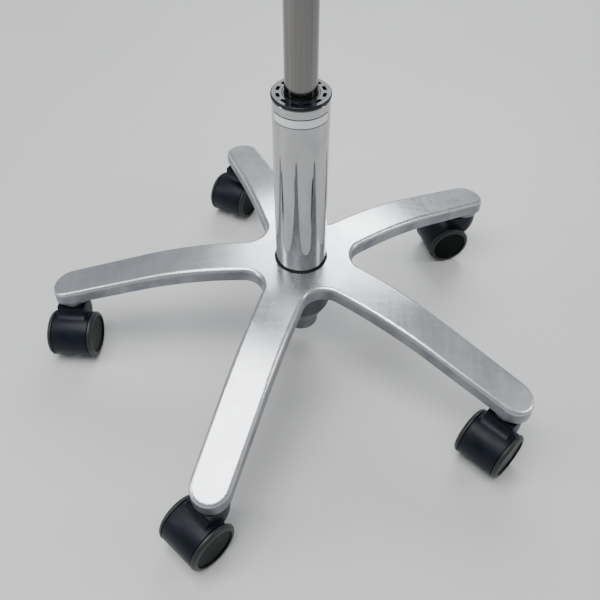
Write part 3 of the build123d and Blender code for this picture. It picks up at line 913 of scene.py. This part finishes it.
def lock_knob():
    knob = cylinder("lock_knob_head", KNOB_MEAN_R, 0, KNOB_HEIGHT, vertices=160)
    for vertex in knob.data.vertices:
        turn = math.atan2(vertex.co.y, vertex.co.x)
        reach = (KNOB_MEAN_R + KNOB_WAVE * math.cos(LOBES * turn)) / KNOB_MEAN_R
        vertex.co.x *= reach
        vertex.co.y *= reach
    pick_faces(knob, lambda centre, normal: abs(normal.z) > FACING)
    bpy.ops.mesh.select_mode(type="EDGE")
    bpy.ops.mesh.bevel(offset=KNOB_ROUND, segments=5, profile=0.5)
    close()
    top = KNOB_HEIGHT
    recess = cylinder("cap_recess", RECESS_R, top - RECESS_DEPTH, top + MM, vertices=96)
    combine(knob, recess, "DIFFERENCE")
    cap = cylinder("knob_cap", CAP_R, top - CAP_DEPTH, top - CAP_BELOW_TOP, vertices=96)
    pick_faces(cap, lambda centre, normal: normal.z > FACING)
    bpy.ops.mesh.select_mode(type="EDGE")
    bpy.ops.mesh.bevel(offset=CAP_ROUND, segments=3, profile=0.5)
    close()
    combine(knob, cap, "UNION")
    combine(knob, cylinder("knob_neck", KNOB_NECK_R, -KNOB_NECK_LENGTH, MM, vertices=64), "UNION")
    knob.data.transform(Matrix.Translation(stud) @ Matrix.Rotation(math.pi / 2, 4, "Y"))
    return finish_mesh(knob, angle=40)


settle(lock_knob(), "knob", "lock_knob", KNOB_BLACK)

# %% [markdown]
# ## The hook head
# The rod ends in a turned hub with a domed cap. Four hooks of round rod leave it. A hook is a curve
# with a round bevel: straight out, a quarter turn up, straight up again, and a few last points
# whose radius shrinks along a circle, so that the tip is round. The curve then becomes a mesh.

# %% Hub, cap and hooks
hub_low, hub_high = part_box("hook_hub")
cap_low, cap_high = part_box("top_cap")
hook_low, hook_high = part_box("hook_1")
tip = next(mount for mount in frame["record"]["mounts"] if mount["name"] == "hook_tip_1")
HOOK_R = tip["dims"]["r_mm"] * MM
HOOK_REACH = tip["pos_m"][0]
HOOK_BEND = 16.0 * MM
HOOK_LEVEL = hook_low.z + HOOK_R
BEND_STEPS = 20
TIP_STEPS = 8
TIP_SMALLEST = 0.02
HUB_LINE = (6 * MM, 7 * MM, 8 * MM)
HUB_LINE_DEPTH = 0.9 * MM
HUB_SOCKET = 12 * MM
HUB_ROUND = 2.0 * MM
CAP_RIM = 2 * MM
DOME_STEPS = 10


def head_hub():
    outer, low, top = hub_high.x, hub_low.z, hub_high.z
    line_low, line_middle, line_high = (low + height for height in HUB_LINE)
    outline = [
        (ROD_R, low), (outer, low), (outer, line_low), (outer - HUB_LINE_DEPTH, line_middle),
        (outer, line_high), (outer, top), (0, top), (0, low + HUB_SOCKET),
        (ROD_R, low + HUB_SOCKET),
    ]
    piece = turned("head_hub", outline)
    for height in (low, top):
        round_ring(piece, outer, height, HUB_ROUND, segments=5)
    return finish_mesh(piece)


def head_cap():
    radius, low, top = cap_high.x, cap_low.z, cap_high.z
    outline = [(0, low), (radius, low)]
    for step in range(DOME_STEPS):
        turn = math.pi / 2 * step / DOME_STEPS
        rise = (top - low - CAP_RIM) * math.sin(turn)
        outline.append((radius * math.cos(turn), low + CAP_RIM + rise))
    outline.append((0, top))
    return turned("head_cap", outline, steps=96)


def hook_path():
    """The hook's points, each with its share of the full radius."""
    bend_x, bend_z = HOOK_REACH - HOOK_BEND, HOOK_LEVEL + HOOK_BEND
    path = [((hook_low.x, 0, HOOK_LEVEL), 1.0)]
    for step in range(BEND_STEPS + 1):
        turn = math.pi / 2 * step / BEND_STEPS
        place = (bend_x + HOOK_BEND * math.sin(turn), 0, bend_z - HOOK_BEND * math.cos(turn))
        path.append((place, 1.0))
    tip_z = hook_high.z - HOOK_R
    for step in range(TIP_STEPS + 1):
        turn = math.pi / 2 * step / TIP_STEPS
        place = (HOOK_REACH, 0, tip_z + HOOK_R * math.sin(turn))
        path.append((place, max(math.cos(turn), TIP_SMALLEST)))
    return path


def one_hook():
    path = hook_path()
    data = bpy.data.curves.new("hook", "CURVE")
    data.dimensions = "3D"
    data.bevel_depth = HOOK_R
    data.bevel_resolution = 6
    data.use_fill_caps = True
    line = data.splines.new("POLY")
    line.points.add(len(path) - 1)
    for point, (place, share) in zip(line.points, path):
        point.co = (*place, 1)
        point.radius = share
    piece = bpy.data.objects.new("hook", data)
    bpy.context.scene.collection.objects.link(piece)
    choose(piece)
    bpy.ops.object.convert(target="MESH")
    return finish_mesh(bpy.context.object, angle=40)


settle(head_hub(), "rod", "hook_hub", CHROME)
settle(head_cap(), "rod", "top_cap", COLLAR_BLACK_PAINTED_SKY)
bent = one_hook()
for number in range(1, 5):
    turn = Matrix.Rotation(math.pi / 2 * (number - 1), 4, "Z")
    twin = copy_piece(bent, f"bent_hook_{number}", turn)
    settle(twin, "rod", f"hook_{number}", BRIGHT)
bpy.data.objects.remove(bent)

# %% [markdown]
# ## Floor, light and camera
# The floor is a plain pale sheet. One broad soft panel hangs above the stand, a little to the left
# and the front, as a ceiling light would, and makes the tops of the legs bright. A second broad
# panel behind the stand gives the casting its sheen. A narrow weaker panel on each side lifts the
# walls and gives the chrome long soft reflections with darker gaps between them.

# %% Floor and lights
FLOOR_SIZE = 14.0
FLOOR_TONES = ((0.68, 0.675, 0.665), (0.63, 0.625, 0.615))
SKY = (0.80, 0.84, 0.90)
SKY_STRENGTH = 0.38


def floor():
    piece = start("floor", bpy.ops.mesh.primitive_plane_add, size=FLOOR_SIZE, location=(0, 0, 0))
    material, shader = new_material("pale floor", (0.66, 0.65, 0.64), metallic=0.0, roughness=0.45)
    tone = noise(material, scale=1.4, detail=5.0)
    tint = blend_colours(material, spread(material, tone, 0.3, 0.7, 0, 1), *FLOOR_TONES)
    link(material, tint, shader.inputs["Base Color"])
    piece.data.materials.append(material)


def panel(name, place, target, size, power, colour=(1, 1, 1)):
    """A soft rectangular lamp, turned to face a target. Its power is in watts."""
    data = bpy.data.lights.new(name, "AREA")
    data.shape = "RECTANGLE"
    data.size, data.size_y = size
    data.energy = power
    data.color = colour
    lamp = bpy.data.objects.new(name, data)
    lamp.location = place
    lamp.rotation_euler = (Vector(target) - Vector(place)).to_track_quat("-Z", "Y").to_euler()
    bpy.context.scene.collection.objects.link(lamp)


floor()
panel("ceiling panel", place=(-0.45, -0.35, 2.4), target=(0, 0, 0.1), size=(1.9, 1.5), power=56,
      colour=(0.97, 0.985, 1.0))
panel("back panel", place=(0.5, 2.3, 1.9), target=(0, 0, 0.1), size=(1.8, 0.9), power=44,
      colour=(0.95, 0.975, 1.0))
panel("left panel", place=(-2.4, -0.4, 1.5), target=(0, 0, 0.2), size=(0.5, 1.6), power=16)
panel("right panel", place=(2.4, -0.1, 1.4), target=(0, 0, 0.2), size=(0.4, 1.6), power=12,
      colour=(1.0, 0.985, 0.96))
world = bpy.data.worlds.new("studio")
world.use_nodes = True
background = world.node_tree.nodes["Background"]
background.inputs["Color"].default_value = (*SKY, 1)
background.inputs["Strength"].default_value = SKY_STRENGTH
bpy.context.scene.world = world
print("panels", len(bpy.data.lights))

# %% [markdown]
# The camera stands in front at about waist height and looks steeply down on the base.

# %% Camera
CAMERA_PLACE = (0, -0.623, 0.754)
CAMERA_DOWN = math.radians(47.9)
CAMERA_TURN = math.radians(0.1)
CAMERA_LENS = 42.17
data = bpy.data.cameras.new("camera")
data.lens = CAMERA_LENS
data.sensor_width = 36.0
camera = bpy.data.objects.new("camera", data)
camera.location = CAMERA_PLACE
camera.rotation_euler = (math.pi / 2 - CAMERA_DOWN, 0, CAMERA_TURN)
bpy.context.scene.collection.objects.link(camera)
bpy.context.scene.camera = camera
print("camera", CAMERA_PLACE)
